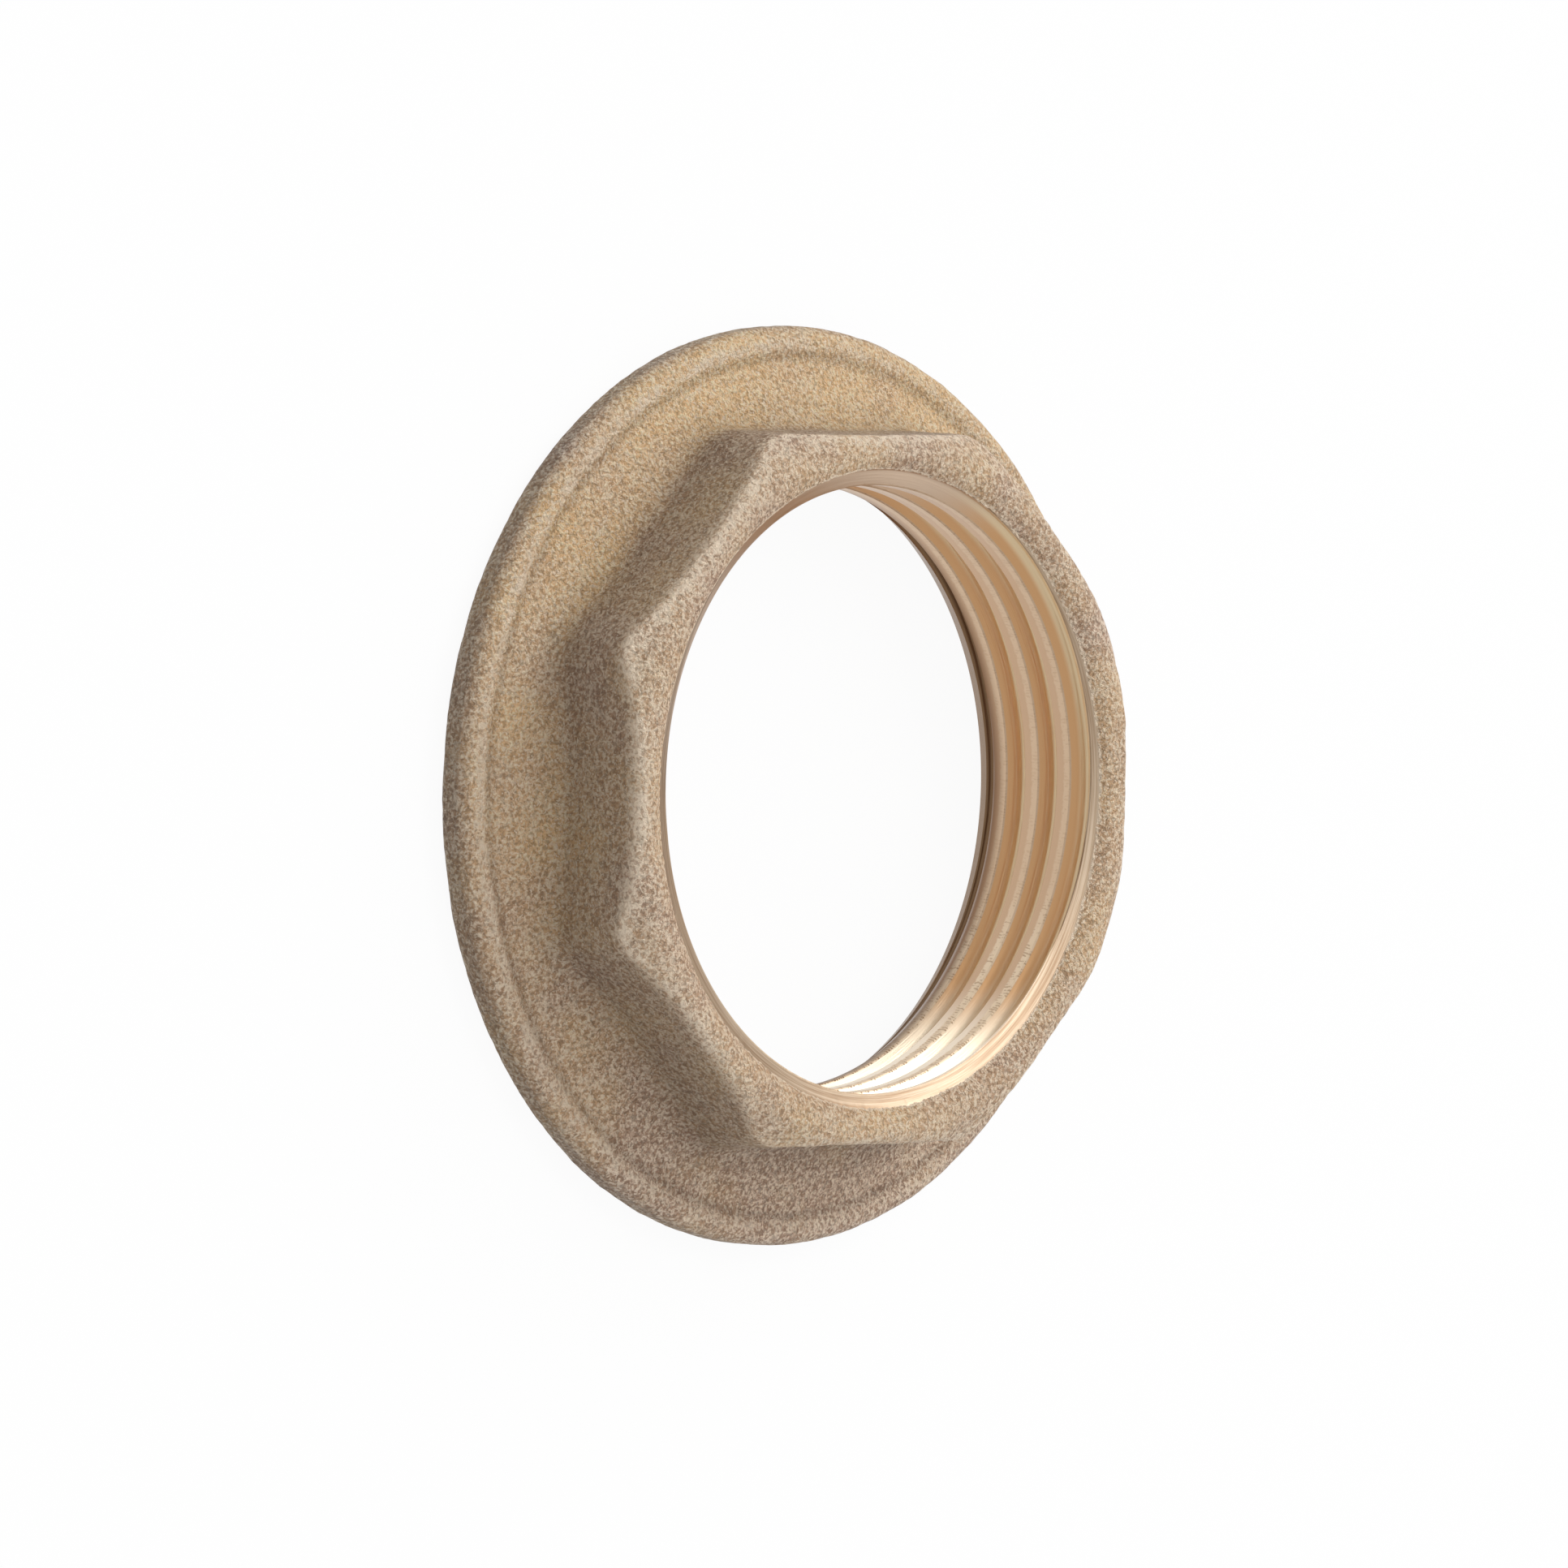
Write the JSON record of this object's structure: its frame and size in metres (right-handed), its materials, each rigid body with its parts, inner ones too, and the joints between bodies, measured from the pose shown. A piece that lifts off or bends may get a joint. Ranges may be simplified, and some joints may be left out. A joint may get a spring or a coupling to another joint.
{
  "type": "locknut",
  "caption": "Flanged cast brass locknut: an eight-sided hub on a round flange, with a right-hand parallel pipe thread right through.",
  "frame": {"origin": "middle of the bore, on the flat back face of the flange", "axes": "+Z along the bore, from the flange toward the eight-sided hub; the nut lies on its flange"},
  "size_m": [0.038, 0.038, 0.0073],
  "materials": {
    "cast_brass": "sand cast outside, turned and tapped inside"
  },
  "bodies": {
    "root": {"locknut": "cast_brass"}
  },
  "joints": []
}
